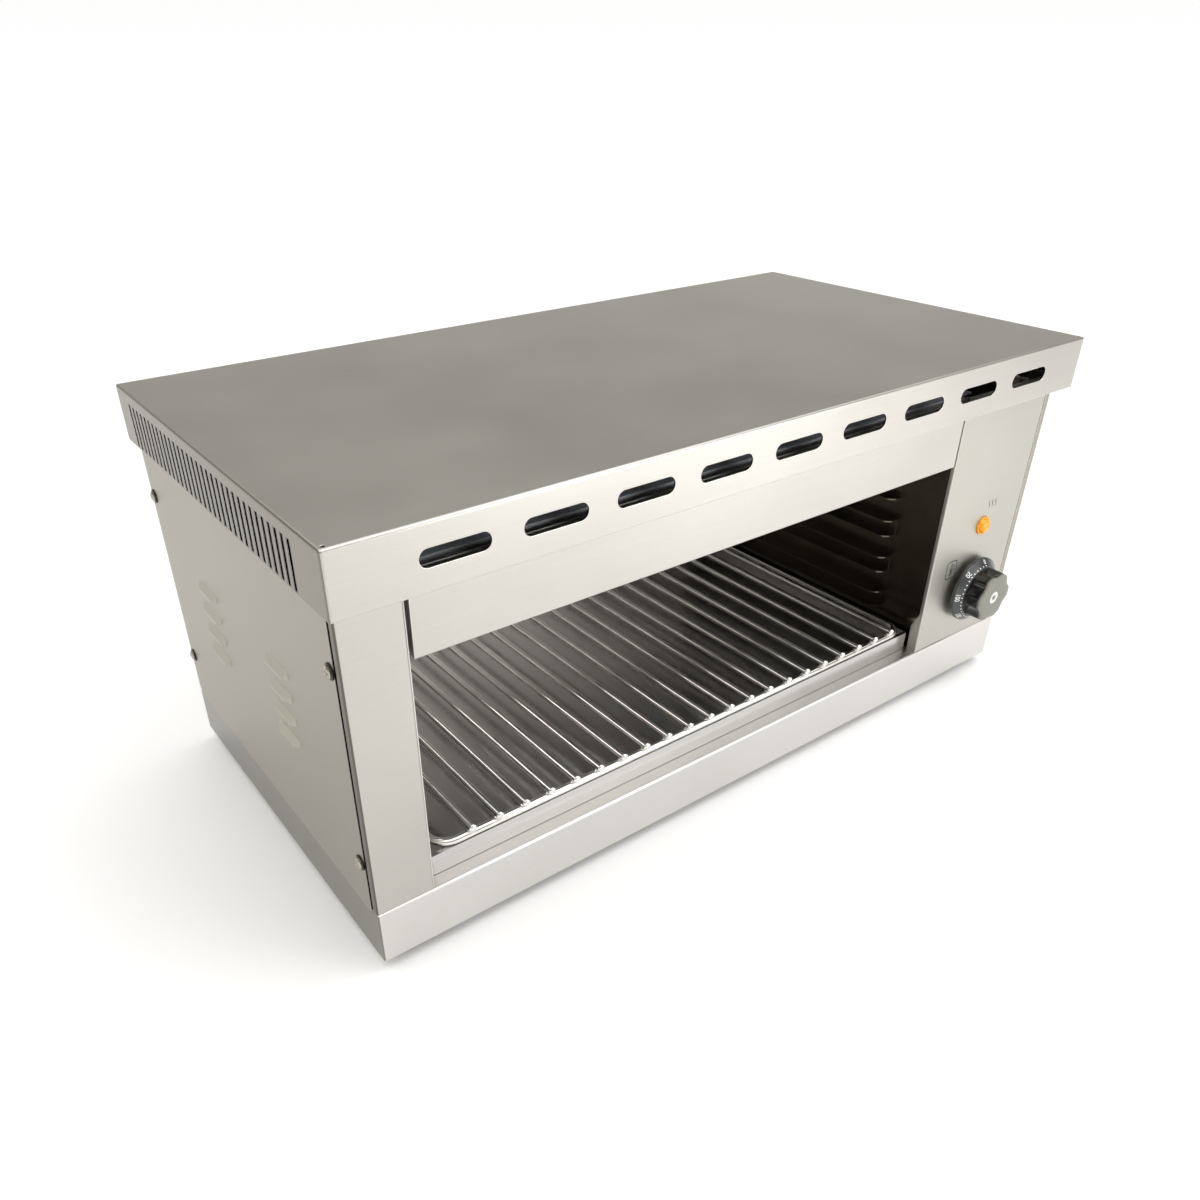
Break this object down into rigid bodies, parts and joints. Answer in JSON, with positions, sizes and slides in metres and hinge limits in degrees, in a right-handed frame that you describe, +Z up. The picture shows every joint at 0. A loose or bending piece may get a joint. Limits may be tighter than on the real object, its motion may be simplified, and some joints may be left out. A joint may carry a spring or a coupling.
{
  "type": "countertop cheese melter",
  "caption": "Countertop cheese melter: open-front grill chamber with shelf runners, wire grid and drip tray, slotted canopy, louvred sides, thermostat knob and lamp.",
  "frame": {"origin": "on the worktop, under the centre of the whole outline, knob and cord gland included", "axes": "+X to the right seen from the front, which faces -Y; +Z up"},
  "size_m": [0.6, 0.335, 0.28],
  "materials": {
    "satin_steel": "brushed stainless steel",
    "chamber_steel": "plain mill-finish stainless sheet",
    "aluminised_steel": "aluminised sheet",
    "element_tube": "heat-tinted tube, satin",
    "ceramic": "unglazed",
    "plated_steel": "zinc plated",
    "tray_steel": "bright sheet",
    "chrome_wire": "bright chrome",
    "dial_black": "satin black",
    "knob_satin": "satin grey",
    "thermostat_plastic": "moulded",
    "copper": "drawn copper",
    "amber": "clear moulded amber",
    "black_plastic": "moulded nylon",
    "block_plastic": "moulded nylon",
    "lead_red": "braided sleeve",
    "lead_blue": "silicone insulation",
    "lead_green": "silicone insulation",
    "foot_rubber": "moulded rubber"
  },
  "bodies": {
    "case": {"back_panel": "satin_steel", "base_plinth": "satin_steel", "cable_gland": "black_plastic", "canopy_bracket_left": "aluminised_steel", "canopy_bracket_right": "aluminised_steel", "canopy_cover": "satin_steel", "capillary_tube": "copper", "case_screws": "plated_steel", "chamber_back_wall": "chamber_steel", "chamber_left_wall": "chamber_steel", "chamber_right_wall": "chamber_steel", "control_panel": "satin_steel", "cover_washers": "plated_steel", "earth_lead": "lead_green", "earth_nut_and_washer": "plated_steel", "earth_stud": "plated_steel", "element_collars": "plated_steel", "element_insulators": "ceramic", "element_leads": "lead_red", "element_strap_left": "aluminised_steel", "element_strap_right": "aluminised_steel", "element_studs": "plated_steel", "feet": "foot_rubber", "front_fascia": "satin_steel", "front_heating_element": "element_tube", "gland_nut": "black_plastic", "heat_shield": "aluminised_steel", "lamp_body": "black_plastic", "lamp_leads": "lead_blue", "lamp_lens": "amber", "lamp_nut": "plated_steel", "lead_caps": "block_plastic", "left_front_post": "satin_steel", "left_shelf_runner_1": "chamber_steel", "left_shelf_runner_2": "chamber_steel", "left_shelf_runner_3": "chamber_steel", "left_shelf_runner_4": "chamber_steel", "left_side_cover": "satin_steel", "live_lead": "lead_red", "neutral_lead": "lead_blue", "rear_heating_element": "element_tube", "reflector": "chamber_steel", "right_shelf_runner_1": "chamber_steel", "right_shelf_runner_2": "chamber_steel", "right_shelf_runner_3": "chamber_steel", "right_shelf_runner_4": "chamber_steel", "right_side_cover": "satin_steel", "sensor_bulb": "copper", "sensor_clips": "aluminised_steel", "terminal_block": "block_plastic", "terminal_screws": "plated_steel", "thermostat_body": "thermostat_plastic", "thermostat_screws": "plated_steel"},
    "knob": {"knob_dial": "dial_black", "knob_grip": "dial_black", "knob_face": "knob_satin", "knob_insert": "knob_satin", "thermostat_spindle": "plated_steel"},
    "wire_grid": {"wire_grid": "chrome_wire"},
    "drip_tray": {"drip_tray": "tray_steel"}
  },
  "joints": [
    {"name": "knob_turn", "type": "hinge", "parent": "case", "child": "knob", "pos_m": [0.2425, -0.1422, 0.0895], "axis": [0, 1, 0], "range_deg": [0, 280]},
    {"name": "grid_slide", "type": "slide", "parent": "case", "child": "wire_grid", "axis": [0, -1, 0], "range_m": [0, 0.24]},
    {"name": "tray_slide", "type": "slide", "parent": "case", "child": "drip_tray", "axis": [0, -1, 0], "range_m": [0, 0.18]}
  ]
}
